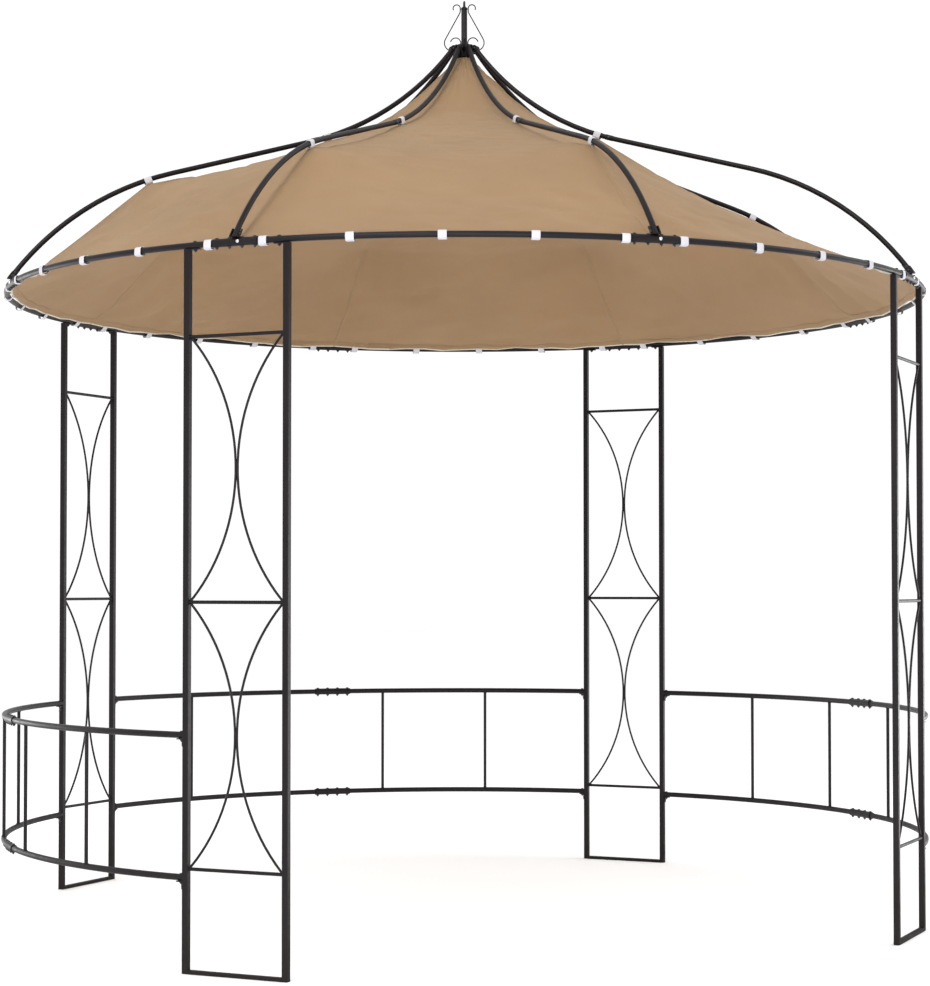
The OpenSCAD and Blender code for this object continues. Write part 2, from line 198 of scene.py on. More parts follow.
class RibLine:
    """Height and slope of a rib's centre line against the distance from the axis."""

    def __init__(self, node):
        mesh = nodes[node].data
        tree = BVHTree.FromPolygons(
            [v.co.copy() for v in mesh.vertices], [tuple(p.vertices) for p in mesh.polygons]
        )
        low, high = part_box(node)
        self.first, self.last = -high.x + 0.02, -low.x - 0.025
        self.table = []
        self.count = 240
        for k in range(self.count + 1):
            r = self.first + (self.last - self.first) * k / self.count
            top = tree.ray_cast(Vector((-r, 0.0004, high.z + 1)), -UP)[0]
            under = tree.ray_cast(Vector((-r, 0.0004, low.z - 1)), UP)[0]
            self.table.append((top.z + under.z) / 2)

    def z(self, r):
        f = (r - self.first) / (self.last - self.first) * self.count
        k = min(max(int(f), 0), self.count - 1)
        return self.table[k] + (self.table[k + 1] - self.table[k]) * (f - k)

    def dip(self, r):
        """Slope below the level, as an angle."""
        return math.atan2(self.z(r - 0.005) - self.z(r + 0.005), 0.01)


rib_line = RibLine("rib_left")
rib_ties = {}                       # rib direction -> distances of its straps from the axis
for points in islands("rib_straps"):
    at = middle(points)
    rib_ties.setdefault(nearest(heading(at), RIB_DIRS), []).append(flat_radius(at))
for distances in rib_ties.values():
    distances.sort()
TIE_IN = min(d[0] for d in rib_ties.values())
TIE_OUT = max(d[-1] for d in rib_ties.values())
ring_tie_dirs = sorted(heading(middle(points)) for points in islands("ring_straps"))


# ---------------------------------------------------------------- materials


DUST_TOP = 0.35                     # dust on the posts fades out at this height


def new_material(name, roughness, metallic=0.0):
    mat = bpy.data.materials.new(name)
    mat.use_nodes = True
    tree = mat.node_tree
    skin = tree.nodes["Principled BSDF"]
    skin.inputs["Roughness"].default_value = roughness
    skin.inputs["Metallic"].default_value = metallic
    return mat, tree, skin


def coords(tree, kind="Object"):
    return tree.nodes.new("ShaderNodeTexCoord").outputs[kind]


def noise_node(tree, vector, scale, detail=3.0, rough=0.5):
    node = tree.nodes.new("ShaderNodeTexNoise")
    node.inputs["Scale"].default_value = scale
    node.inputs["Detail"].default_value = detail
    node.inputs["Roughness"].default_value = rough
    tree.links.new(vector, node.inputs["Vector"])
    return node.outputs["Fac"]


def ramp(tree, value, stops):
    node = tree.nodes.new("ShaderNodeValToRGB")
    tree.links.new(value, node.inputs["Fac"])
    elements = node.color_ramp.elements
    while len(elements) < len(stops):
        elements.new(0.5)
    for element, (at, colour) in zip(elements, stops):
        element.position = at
        element.color = (*colour, 1)
    return node.outputs["Color"]


def map_range(tree, value, low, high):
    node = tree.nodes.new("ShaderNodeMapRange")
    node.inputs["To Min"].default_value = low
    node.inputs["To Max"].default_value = high
    tree.links.new(value, node.inputs["Value"])
    return node.outputs["Result"]


def math_node(tree, operation, a, b=0.0):
    node = tree.nodes.new("ShaderNodeMath")
    node.operation = operation
    for socket, value in zip(node.inputs, (a, b)):
        if hasattr(value, "is_linked"):
            tree.links.new(value, socket)
        else:
            socket.default_value = value
    return node.outputs[0]


def part_of(tree, vector, axis):
    node = tree.nodes.new("ShaderNodeSeparateXYZ")
    tree.links.new(vector, node.inputs[0])
    return node.outputs[axis]


def near_ground(tree, place):
    """1 on the ground, falling to 0 at DUST_TOP."""
    height = math_node(tree, "DIVIDE", part_of(tree, place, "Z"), DUST_TOP)
    return math_node(tree, "MAXIMUM", math_node(tree, "SUBTRACT", 1.0, height), 0.0)


def mix_colour(tree, factor, a, b, kind="MIX"):
    node = tree.nodes.new("ShaderNodeMix")
    node.data_type = "RGBA"
    node.blend_type = kind
    for socket, value in ((node.inputs[0], factor), (node.inputs[6], a), (node.inputs[7], b)):
        if hasattr(value, "is_linked"):
            tree.links.new(value, socket)
        elif isinstance(value, tuple):
            socket.default_value = (*value, 1)
        else:
            socket.default_value = value
    return node.outputs[2]


def bump(tree, skin, height, distance, strength=1.0, after=None):
    node = tree.nodes.new("ShaderNodeBump")
    node.inputs["Distance"].default_value = distance
    node.inputs["Strength"].default_value = strength
    tree.links.new(height, node.inputs["Height"])
    if after:
        tree.links.new(after.outputs["Normal"], node.inputs["Normal"])
    tree.links.new(node.outputs["Normal"], skin.inputs["Normal"])
    return node


def frame_paint():
    """Dark powder coat: a near-black brown with a fine orange-peel skin."""
    mat, tree, skin = new_material("frame_paint", 0.42)
    place = coords(tree)
    patches = noise_node(tree, place, 9, 4)
    tone = ramp(tree, patches, [(0.3, (0.0045, 0.0036, 0.0041)), (0.7, (0.0085, 0.0069, 0.0078))])
    skin.inputs["Specular IOR Level"].default_value = 0.20
    skin.inputs["Specular Tint"].default_value = (1.0, 0.93, 1.0, 1)
    dusty = math_node(tree, "MULTIPLY", near_ground(tree, place), noise_node(tree, place, 45, 6))
    tone = mix_colour(tree, math_node(tree, "MULTIPLY", dusty, 0.12), tone, (0.15, 0.13, 0.115))
    tree.links.new(tone, skin.inputs["Base Color"])
    gloss = map_range(tree, noise_node(tree, place, 60, 3), 0.34, 0.52)
    tree.links.new(math_node(tree, "ADD", gloss, dusty), skin.inputs["Roughness"])
    bump(tree, skin, noise_node(tree, place, 700, 2), 0.0002, 0.35)
    return mat


def zinc():
    mat, tree, skin = new_material("zinc_plate", 0.32, 1.0)
    place = coords(tree)
    tone = ramp(tree, noise_node(tree, place, 260, 3),
                [(0.3, (0.55, 0.55, 0.56)), (0.7, (0.78, 0.78, 0.78))])
    tree.links.new(tone, skin.inputs["Base Color"])
    bump(tree, skin, noise_node(tree, place, 900, 2), 0.0001, 0.3)
    return mat


def black_steel():
    """Blackened bolts, a little glossier than the paint."""
    mat, tree, skin = new_material("black_steel", 0.35, 0.4)
    place = coords(tree)
    tone = ramp(tree, noise_node(tree, place, 300, 3),
                [(0.3, (0.016, 0.015, 0.016)), (0.7, (0.045, 0.042, 0.042))])
    tree.links.new(tone, skin.inputs["Base Color"])
    bump(tree, skin, noise_node(tree, place, 800, 2), 0.0001, 0.3)
    return mat


def weave(tree, uv, pitch, depth_range=(0.0, 1.0)):
    """Height of a plain weave whose threads are pitch metres apart."""
    heights = []
    for direction in ("X", "Y"):
        wave = tree.nodes.new("ShaderNodeTexWave")
        wave.bands_direction = direction
        wave.inputs["Scale"].default_value = 0.314 / pitch
        wave.inputs["Distortion"].default_value = 0.4
        wave.inputs["Detail"].default_value = 1
        tree.links.new(uv, wave.inputs["Vector"])
        heights.append(wave.outputs["Fac"])
    node = tree.nodes.new("ShaderNodeMath")
    node.operation = "MULTIPLY"
    tree.links.new(heights[0], node.inputs[0])
    tree.links.new(heights[1], node.inputs[1])
    return map_range(tree, node.outputs[0], *depth_range)


def cloth_material(name, light, dark, pitch, sheen):
    mat, tree, skin = new_material(name, 0.85)
    uv = coords(tree, "UV")
    place = coords(tree)
    threads = weave(tree, uv, pitch)
    tone = ramp(tree, noise_node(tree, place, 2.2, 5, 0.6), [(0.35, dark), (0.65, light)])
    # painted shade: the low parts of the weave, between the threads, are darkened up to 14% towards a
    # deeper tone
    tone = mix_colour(tree, map_range(tree, threads, 0.14, 0.0), tone, tuple(0.6 * c for c in dark))
    tree.links.new(tone, skin.inputs["Base Color"])
    skin.inputs["Sheen Weight"].default_value = sheen
    skin.inputs["Sheen Roughness"].default_value = 0.6
    skin.inputs["Specular IOR Level"].default_value = 0.25
    soft = bump(tree, skin, noise_node(tree, place, 14, 4), 0.004, 0.25)
    bump(tree, skin, threads, 0.0004, 0.5, soft)
    return mat, tree, skin


def pucker(tree, skin):
    """Small puckers beside the seams and pleats round the crown, on top of the weave."""
    place, uv = coords(tree), coords(tree, "UV")
    beside = tree.nodes.new("ShaderNodeAttribute")
    beside.attribute_name = "beside_seam"
    near = math_node(tree, "POWER", beside.outputs["Fac"], 3.0)
    wander = math_node(tree, "MULTIPLY", noise_node(tree, place, 12, 3), 9.0)
    wave = math_node(tree, "MULTIPLY", part_of(tree, uv, "Y"), 2 * math.pi / PUCKER_PITCH)
    wave = math_node(tree, "SINE", math_node(tree, "ADD", wave, wander))
    ripple = math_node(tree, "MULTIPLY", near, math_node(tree, "MULTIPLY", wave, 0.0007))
    x, y = part_of(tree, place, "X"), part_of(tree, place, "Y")
    angle = math_node(tree, "MULTIPLY", math_node(tree, "ARCTAN2", y, x), CROWN_PLEATS)
    wander = math_node(tree, "MULTIPLY", noise_node(tree, place, 5, 2), 6.0)
    pleat = math_node(tree, "SINE", math_node(tree, "ADD", angle, wander))
    length = tree.nodes.new("ShaderNodeVectorMath")
    length.operation = "LENGTH"
    flat = tree.nodes.new("ShaderNodeCombineXYZ")
    tree.links.new(x, flat.inputs[0])
    tree.links.new(y, flat.inputs[1])
    tree.links.new(flat.outputs[0], length.inputs[0])
    reach = math_node(tree, "DIVIDE", length.outputs["Value"], PLEAT_REACH)
    fade = math_node(tree, "MAXIMUM", math_node(tree, "SUBTRACT", 1.0, reach), 0.0)
    pleat = math_node(tree, "MULTIPLY", pleat, math_node(tree, "MULTIPLY", fade, 0.0022))
    last = skin.inputs["Normal"].links[0].from_node
    bump(tree, skin, math_node(tree, "ADD", ripple, pleat), 1.0, 0.9, last)


PUCKER_PITCH = 0.045                # metres between two puckers along a seam
CROWN_PLEATS = 24
PLEAT_REACH = 0.42                  # pleats fade out this far from the axis
paint = frame_paint()
black = black_steel()
bright = zinc()
canvas, canvas_tree, canvas_skin = cloth_material(
    "canopy_cloth", (0.288, 0.187, 0.0985), (0.258, 0.165, 0.086), 0.0012, 0.03)
canvas_skin.inputs["Subsurface Weight"].default_value = 0.35
canvas_skin.inputs["Subsurface Radius"].default_value = (1.0, 0.75, 0.5)
canvas_skin.inputs["Subsurface Scale"].default_value = 0.003
pucker(canvas_tree, canvas_skin)
thread, _, _ = cloth_material(
    "canopy_thread", (0.40, 0.27, 0.155), (0.34, 0.23, 0.13), 0.0006, 0.1)
binding, _, _ = cloth_material(
    "edge_binding", (0.66, 0.60, 0.50), (0.56, 0.50, 0.42), 0.0012, 0.1)
webbing, _, _ = cloth_material(
    "strap_webbing", (0.60, 0.59, 0.62), (0.50, 0.49, 0.53), 0.0016, 0.1)


# ---------------------------------------------------------------- mesh helpers


def add_piece(name, bm, material, smooth_angle=40):
    """Turns a bmesh into a piece that rides on the gazebo's one body."""
    mesh = bpy.data.meshes.new(name)
    bmesh.ops.recalc_face_normals(bm, faces=bm.faces)
    bm.to_mesh(mesh)
    bm.free()
    mesh.materials.append(material)
    obj = bpy.data.objects.new(name, mesh)
    bpy.context.scene.collection.objects.link(obj)
    for polygon in mesh.polygons:
        polygon.use_smooth = True
    mesh.set_sharp_from_angle(angle=math.radians(smooth_angle))
    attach(obj, "root")
    return obj


def frame_of(axis, hint=UP):
    """Two unit vectors at right angles to axis."""
    axis = axis.normalized()
    if abs(axis.dot(hint)) > 0.95:
        hint = Vector((1, 0, 0))
    side = hint.cross(axis).normalized()
    return side, axis.cross(side)


def add_ring(bm, centre, a, b, radii):
    """Vertices round centre in the plane of a and b, one for each (radius, angle)."""
    return [bm.verts.new(centre + a * (r * math.cos(t)) + b * (r * math.sin(t))) for r, t in radii]


def join_rings(bm, one, two, closed=True):
    n = len(one)
    for k in range(n if closed else n - 1):
        m = (k + 1) % n
        bm.faces.new((one[k], one[m], two[m], two[k]))


def turned(bm, at, axis, profile, sides, phase=0.0):
    """A solid of revolution: profile is a list of (radius, distance along axis)."""
    a, b = frame_of(axis)
    axis = axis.normalized()
    rings = []
    for r, h in profile:
        rings.append(add_ring(bm, at + axis * h, a, b,
                              [(r, phase + 2 * math.pi * k / sides) for k in range(sides)]))
    for one, two in zip(rings, rings[1:]):
        join_rings(bm, one, two)
    bm.faces.new(rings[0][::-1])
    bm.faces.new(rings[-1])


def hex_nut(bm, at, axis, flats=0.010, height=0.005):
    """Hexagon nut with chamfered rim on a washer; at is on the surface it sits on."""
    turned(bm, at, axis, [(0.62 * flats + 0.0008, 0), (0.62 * flats + 0.0008, 0.0010),
                          (0.45 * flats, 0.0011)], 20)
    corner = flats / math.sqrt(3)
    phase = rng.uniform(0, math.pi / 3)
    turned(bm, at, axis, [(0.93 * corner, 0.0010), (corner, 0.0016), (corner, height - 0.0006),
                          (0.90 * corner, height)], 6, phase)
    turned(bm, at, axis, [(0.28 * flats, height), (0.28 * flats, height + 0.0022),
                          (0.22 * flats, height + 0.0028)], 12)


def dome_head(bm, at, axis, d=0.013, height=0.0038):
    """Round bolt head."""
    r = d / 2
    steps = 5
    profile = [(r, 0)] + [
        (r * math.cos(0.5 * math.pi * k / steps) if k < steps else 0.12 * r,
         0.0008 + (height - 0.0008) * math.sin(0.5 * math.pi * k / steps))
        for k in range(steps + 1)]
    turned(bm, at, axis, profile, 18)


def weld_bead(bm, at, axis, r, bead=0.0016, sides=18):
    """An uneven bead of weld round a bar of radius r."""
    a, b = frame_of(axis)
    axis = axis.normalized()
    rings = []
    for k in range(sides):
        t = 2 * math.pi * k / sides
        out = a * math.cos(t) + b * math.sin(t)
        swell = bead * (1 + 0.35 * noise.noise((at + out * r) * 420))
        centre = at + out * r
        rings.append([bm.verts.new(centre + out * (swell * math.cos(u)) + axis * (swell * math.sin(u)))
                      for u in (2 * math.pi * m / 6 for m in range(6))])
    for k in range(sides):
        join_rings(bm, rings[k], rings[(k + 1) % sides])


# ---------------------------------------------------------------- canopy

PANEL_COLS = 16
COLS = 8 * PANEL_COLS
INNER_ROWS, MIDDLE_ROWS, OUTER_ROWS = 22, 26, 20
ROWS = INNER_ROWS + MIDDLE_ROWS + OUTER_ROWS
CLOTH_T = 0.0009
CROWN_R = 0.036
CROWN_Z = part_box("canopy")[1].z
HUB_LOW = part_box("hub")[0].z
HEM_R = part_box("canopy")[1].x - 0.001
TIE_GAP = RIB_D / 2 + 0.0052
HEM_DROP = -0.001


def row_radius(i):
    if i <= INNER_ROWS:
        return CROWN_R + (TIE_IN - CROWN_R) * i / INNER_ROWS
    return TIE_IN + (TIE_OUT - TIE_IN) * (i - INNER_ROWS) / MIDDLE_ROWS


class CadCanopy:
    """Height of the CAD canopy's middle surface above a point of the floor."""

    def __init__(self):
        mesh = nodes["canopy"].data
        self.tree = BVHTree.FromPolygons(
            [v.co.copy() for v in mesh.vertices], [tuple(p.vertices) for p in mesh.polygons]
        )

    def z(self, x, y):
        top = self.tree.ray_cast(Vector((x, y, 10)), -UP)[0]
        under = self.tree.ray_cast(Vector((x, y, 0)), UP)[0]
        return (top.z + under.z) / 2


cad_canopy = CadCanopy()


def cut_point(i, j):
    """A point of the cloth as it is cut: eight panels between the ribs, then down to the hem."""
    k, t = divmod(j, PANEL_COLS)
    t /= PANEL_COLS
    u = max(0.0, (i - INNER_ROWS - MIDDLE_ROWS) / OUTER_ROWS)
    r = row_radius(min(i, INNER_ROWS + MIDDLE_ROWS))
    p = around(RIB_DIRS[k], r, 0).lerp(around(RIB_DIRS[k] + RIB_STEP, r, 0), t)
    p = p.lerp(around(-90 + 360 * j / COLS, HEM_R, 0), u)
    p.z = RING_Z - HEM_DROP if i == ROWS else cad_canopy.z(p.x, p.y)
    return p


def canopy_points():
    return [[cut_point(i, j) for j in range(COLS)] for i in range(ROWS + 1)]


def pinned(i, j):
    """How firmly a point of the cloth is held, from 0 to 1."""
    if i == 0:
        return 1.0
    if i == ROWS:
        turn = -90 + 360 * j / COLS
        near = abs(turn_between(turn, nearest(turn, ring_tie_dirs)))
        return 1.0 if near < 0.75 * 360 / COLS else 0.0
    if j % PANEL_COLS == 0:
        held = rib_ties[RIB_DIRS[j // PANEL_COLS]]
        if i == INNER_ROWS or (i == INNER_ROWS + MIDDLE_ROWS and len(held) > 1):
            return 1.0
    return 0.0


def settle(points):
    """Hangs the cloth from its straps with Blender's cloth solver and returns the new points."""
    mesh = bpy.data.meshes.new("settling")
    flat = [p for row in points for p in row]
    faces = [(i * COLS + j, i * COLS + (j + 1) % COLS,
              (i + 1) * COLS + (j + 1) % COLS, (i + 1) * COLS + j)
             for i in range(ROWS) for j in range(COLS)]
    mesh.from_pydata(flat, [], faces)
    obj = bpy.data.objects.new("settling", mesh)
    bpy.context.scene.collection.objects.link(obj)
    bpy.context.view_layer.objects.active = obj
    group = obj.vertex_groups.new(name="held")
    for i in range(ROWS + 1):
        for j in range(COLS):
            hold = pinned(i, j)
            if hold:
                group.add([i * COLS + j], hold, "REPLACE")
    cloth = obj.modifiers.new("cloth", "CLOTH")
    s = cloth.settings
    s.quality = 12
    s.mass = 0.004
    s.air_damping = 2.0
    s.tension_stiffness = 40
    s.compression_stiffness = 8
    s.shear_stiffness = 12
    s.bending_stiffness = 0.02
    s.tension_damping = 8
    s.shrink_min = -0.0015
    s.vertex_group_mass = "held"
    s.pin_stiffness = 1.0
    cloth.collision_settings.use_collision = False
    scene = bpy.context.scene
    last_frame = 45
    cloth.point_cache.frame_start = 1
    cloth.point_cache.frame_end = last_frame
    for f in range(1, last_frame + 1):
        scene.frame_set(f)
    shown = obj.evaluated_get(bpy.context.evaluated_depsgraph_get()).to_mesh()
    moved = [v.co.copy() for v in shown.vertices]
    obj.to_mesh_clear()
    scene.frame_set(1)
    bpy.data.objects.remove(obj)
    bpy.data.meshes.remove(mesh)
    return [moved[i * COLS:(i + 1) * COLS] for i in range(ROWS + 1)]


cloth_points = canopy_points()
cloth_points = settle(cloth_points)


def cloth_normal(i, j):
    up = cloth_points[max(i - 1, 0)][j] - cloth_points[min(i + 1, ROWS)][j]
    side = cloth_points[i][(j + 1) % COLS] - cloth_points[i][(j - 1) % COLS]
    return side.cross(up).normalized()


def build_canopy():
    bm = bmesh.new()
    uv = bm.loops.layers.uv.new("cloth")
    beside = bm.verts.layers.float.new("beside_seam")
    grid = [[bm.verts.new(p) for p in row] for row in cloth_points]
    dome = []
    for share, lift in ((0.84, 0.45), (0.62, 0.85), (0.35, 1.0)):
        z = CROWN_Z + lift * (HUB_LOW - 0.001 - CROWN_Z)
        dome.append([bm.verts.new(Vector((share * p.x, share * p.y, z))) for p in cloth_points[0]])
    peak = bm.verts.new(Vector((0, 0, HUB_LOW - 0.001)))
    along = [0.0]
    for i in range(ROWS):
        along.append(along[-1] + (cloth_points[i + 1][0] - cloth_points[i][0]).length)

    def across(i, j):
        span = (cloth_points[i][0] - cloth_points[i][1]).length
        return (j - PANEL_COLS / 2) * span + 2 * (j // PANEL_COLS)

    for i in range(ROWS):
        for j in range(COLS):
            m = (j + 1) % COLS
            face = bm.faces.new((grid[i][j], grid[i][m], grid[i + 1][m], grid[i + 1][j]))
            base = PANEL_COLS * (j // PANEL_COLS)
            for loop, (a, b) in zip(face.loops, ((i, j), (i, j + 1), (i + 1, j + 1), (i + 1, j))):
                loop[uv].uv = (across(a, b - base), along[a])
    before = len(bm.faces)
    for a, b in zip([grid[0]] + dome, dome):
        join_rings(bm, a, b)
    for j in range(COLS):
        bm.faces.new((peak, dome[-1][(j + 1) % COLS], dome[-1][j]))
    bm.faces.ensure_lookup_table()
    for face in bm.faces[before:]:
        for loop in face.loops:
            loop[uv].uv = (loop.vert.co.x, loop.vert.co.y)
    for i in range(ROWS + 1):
        for j in range(0, COLS, PANEL_COLS):
            grid[i][j][beside] = 1.0
    obj = add_piece("canopy_cloth", bm, canvas, 60)
    thick = obj.modifiers.new("thickness", "SOLIDIFY")
    thick.thickness = CLOTH_T
    thick.offset = 0
    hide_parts("canopy")
    return obj


canopy = build_canopy()


# ---------------------------------------------------------------- sewing


def cloth_at(i, j, across=0.0, lift=0.0):
    """A point beside a node of the cloth: across metres along its row, lift above it."""
    here = cloth_points[i][j % COLS]
    step = 1 if across >= 0 else -1
    beside = (cloth_points[i][(j + step) % COLS] - here).normalized()
    return here + beside * abs(across) + cloth_normal(i, j % COLS) * lift


def add_strip(bm, uv, sections, endless=False):
    """A strip through sections, each a loop of points in the same order."""
    rings = [[bm.verts.new(p) for p in section] for section in sections]
    n = len(rings[0])
    girth = [0.0]
    for k in range(n):
        girth.append(girth[-1] + (sections[0][(k + 1) % n] - sections[0][k]).length)
    run = 0.0
    for a in range(len(rings) if endless else len(rings) - 1):
        b = (a + 1) % len(rings)
        step = (sections[b][0] - sections[a][0]).length
        for k in range(n):
            m = (k + 1) % n
            face = bm.faces.new((rings[a][k], rings[a][m], rings[b][m], rings[b][k]))
            corners = ((girth[k], run), (girth[k + 1], run),
                       (girth[k + 1], run + step), (girth[k], run + step))
            for loop, place in zip(face.loops, corners):
                loop[uv].uv = place
        run += step
    if not endless:
        bm.faces.new(rings[0][::-1])
        bm.faces.new(rings[-1])


def flat_section(place, half, thick):
    """Six points of a flat strip's section; place(across, lift) gives a point."""
    return [place(-half, 0), place(-0.8 * half, thick), place(0.8 * half, thick), place(half, 0),
            place(0.8 * half, -thick), place(-0.8 * half, -thick)]


def build_seams():
    """The felled seams between the eight panels."""
    bm = bmesh.new()
    uv = bm.loops.layers.uv.new("cloth")
    for k in range(8):
        j = k * PANEL_COLS
        add_strip(bm, uv, [
            flat_section(lambda across, lift, i=i: cloth_at(i, j, across, lift),
                         SEAM_HALF, SEAM_T) for i in range(ROWS + 1)])
    return add_piece("canopy_seams", bm, canvas, 80)


def build_hem():
    """The doubled hem and the pale tape bound over its edge."""
    bm = bmesh.new()
    uv = bm.loops.layers.uv.new("cloth")
    tape = bmesh.new()
    tape_uv = tape.loops.layers.uv.new("cloth")

    def place(j, down, lift):
        edge = cloth_points[ROWS][j % COLS]
        up = (cloth_points[ROWS - 1][j % COLS] - edge).normalized()
        return edge + up * down + cloth_normal(ROWS, j % COLS) * lift

    def section(j, start, end, thick):
        return [place(j, start, thick), place(j, end - 0.001, thick), place(j, end, 0),
                place(j, end - 0.001, -thick), place(j, start, -thick)]

    add_strip(bm, uv, [section(j, TAPE_W - 0.002, HEM_W, SEAM_T) for j in range(COLS)], True)
    add_strip(tape, tape_uv, [section(j, -0.0012, TAPE_W, 0.0014) for j in range(COLS)], True)
    return [add_piece("canopy_hem", bm, canvas, 80),
            add_piece("canopy_binding", tape, binding, 80)]


def add_stitch(bm, at, along, normal):
    """One stitch: a small spindle lying on the cloth."""
    side = along.cross(normal)
    half = 0.5 * STITCH
    ends = [bm.verts.new(at - along * half), bm.verts.new(at + along * half)]
    belt = [bm.verts.new(at + side * 0.0004), bm.verts.new(at + normal * 0.0005),
            bm.verts.new(at - side * 0.0004), bm.verts.new(at - normal * 0.0002)]
    for k in range(4):
        m = (k + 1) % 4
        bm.faces.new((ends[0], belt[m], belt[k]))
        bm.faces.new((ends[1], belt[k], belt[m]))


def stitch_line(bm, points, normals, pitch):
    """Stitches at an even pitch along a line of points."""
    due = 0.5 * pitch
    for a, b, n in zip(points, points[1:], normals):
        span = (b - a).length
        along = (b - a).normalized()
        while due < span:
            add_stitch(bm, a + along * due, along, n)
            due += pitch
        due -= span


def build_stitches():
    bm = bmesh.new()
    for k in range(8):
        j = k * PANEL_COLS
        for across in (-0.65 * SEAM_HALF, 0.65 * SEAM_HALF):
            for face in (1, -1):
                lift = face * (SEAM_T + 0.0001)
                line = [cloth_at(i, j, across, lift) for i in range(ROWS + 1)]
                stitch_line(bm, line, [cloth_normal(i, j) * face for i in range(ROWS)],
                            STITCH_PITCH)
    for i_row, depth in ((ROWS, HEM_W - 0.003), (ROWS, TAPE_W - 0.002)):
        for face in (1, -1):
            line, normals = [], []
            for j in range(COLS + 1):
                edge = cloth_points[i_row][j % COLS]
                up = (cloth_points[i_row - 1][j % COLS] - edge).normalized()
                normal = cloth_normal(i_row, j % COLS) * face
                line.append(edge + up * depth + normal * 0.0015)
                normals.append(normal)
            stitch_line(bm, line, normals, STITCH_PITCH)
    return add_piece("canopy_stitches", bm, thread)


def build_crown_patch():
    """The round reinforcement under the hub."""
    bm = bmesh.new()
    uv = bm.loops.layers.uv.new("cloth")
    rows = range(0, PATCH_ROWS)
    upper = [[bm.verts.new(cloth_at(i, j, 0, 0.0012)) for j in range(COLS)] for i in rows]
    lower = [[bm.verts.new(cloth_at(i, j, 0, -0.0012)) for j in range(COLS)] for i in rows]
    for a, b in zip(upper, upper[1:]):
        join_rings(bm, b, a)
    for a, b in zip(lower, lower[1:]):
        join_rings(bm, a, b)
    join_rings(bm, lower[-1], upper[-1])
    join_rings(bm, upper[0], lower[0])
    for face in bm.faces:
        for loop in face.loops:
            loop[uv].uv = (loop.vert.co.x, loop.vert.co.y)
    return add_piece("canopy_crown_patch", bm, canvas, 60)


SEAM_HALF, SEAM_T = 0.007, 0.0012
HEM_W, TAPE_W = 0.030, 0.0055
STITCH, STITCH_PITCH = 0.0034, 0.0052
PATCH_ROWS = 3
sewn = [build_seams(), build_stitches(), build_crown_patch()] + build_hem()


# ---------------------------------------------------------------- straps

STRAP_W = 0.024
STRAP_T = 0.0013
STRAP_LAP = 1.1                     # how far the tail overlaps, in radians round the bar
STRAP_SQUARE = 3.4                  # 2 would be an oval side view


def strap_path(bar_r, hold, slack):
    """Side view of a hook-and-loop strap round a bar, as (out, up) from the bar's middle.

    It starts sewn to the cloth at hold, goes over the bar, hangs slack below it, and its tail
    is pressed on to its own start. Its sides stand flat, as stiff webbing does.
    """
    points = []
    first = math.atan2(hold[1], hold[0])
    grip = math.hypot(*hold)
    wide = bar_r + 0.9 * STRAP_T
    high = wide + slack
    turns = 52
    for k in range(turns + 1):
        t = first - (2 * math.pi + STRAP_LAP) * k / turns
        c, q = math.cos(t), math.sin(t)
        band = (abs(c / wide) ** STRAP_SQUARE + abs(q / high) ** STRAP_SQUARE) ** (-1 / STRAP_SQUARE)
        near_cloth = math.exp(-((turn_between(math.degrees(t), math.degrees(first)) / 40) ** 2))
        r = band + max(0.0, grip - band) * near_cloth
        r += STRAP_T * min(1.0, max(0.0, (first - t) / (2 * math.pi) - 0.94) * 18)
        points.append((r * c, r * q - 0.7 * slack * max(0.0, 1 - near_cloth)))
    return points


def add_strap(bm, uv, at, out, up, path):
    """Sweeps a strap's section along its path in the plane of out and up."""
    across = out.cross(up)
    lean = rng.uniform(-0.05, 0.05)
    sections = []
    for k, (x, z) in enumerate(path):
        a, b = path[max(k - 1, 0)], path[min(k + 1, len(path) - 1)]
        along = Vector((b[0] - a[0], b[1] - a[1])).normalized()
        normal = out * -along.y + up * along.x
        base = at + out * x + up * z + across * (lean * z)

        def place(s, t, base=base, normal=normal):
            curl = 0.0004 * (2 * s / STRAP_W) ** 2
            return base + across * s + normal * (t - curl)

        sections.append(flat_section(place, STRAP_W / 2, STRAP_T / 2))
    add_strip(bm, uv, sections)


def build_ring_straps():
    bm = bmesh.new()
    uv = bm.loops.layers.uv.new("cloth")
    for points in islands("ring_straps"):
        at = middle(points)
        deg = heading(at)
        hem = cloth_points[ROWS][round((deg + 90) / 360 * COLS) % COLS]
        hold = (flat_radius(hem) - RING_R - 0.004, hem.z - RING_Z + 0.001)
        path = strap_path(TUBE_D / 2, hold, rng.uniform(0.002, 0.004))
        add_strap(bm, uv, around(deg, RING_R, RING_Z), out_from(deg), UP, path)
    obj = add_piece("ring_straps_sewn", bm, webbing, 50)
    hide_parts("ring_straps")
    return obj


def build_rib_straps():
    bm = bmesh.new()
    uv = bm.loops.layers.uv.new("cloth")
    for deg, held in rib_ties.items():
        for r in held:
            dip = rib_line.dip(r)
            out = out_from(deg)
            normal = out * math.sin(dip) + UP * math.cos(dip)
            side = along_from(deg) * rng.choice((-1, 1))
            path = strap_path(RIB_D / 2, (0.0015, -TIE_GAP - 0.0005), 0.0015)
            at = around(deg, r, rib_line.z(r))
            add_strap(bm, uv, at, side, normal, path)
    obj = add_piece("rib_straps_sewn", bm, webbing, 50)
    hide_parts("rib_straps")
    return obj


straps = [build_ring_straps(), build_rib_straps()]


# ---------------------------------------------------------------- bolts and welds

PLATE_END_R, PLATE_DROP = 0.010, 0.015      # round ends of the hub's plates, below its top
BOLT_PITCH = 0.040
rail_zs = [(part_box(n)[0].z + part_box(n)[1].z) / 2 for n in ("rail_low_back", "rail_high_back")]
COLUMN_DIRS = [-135, 135, 45, -45]


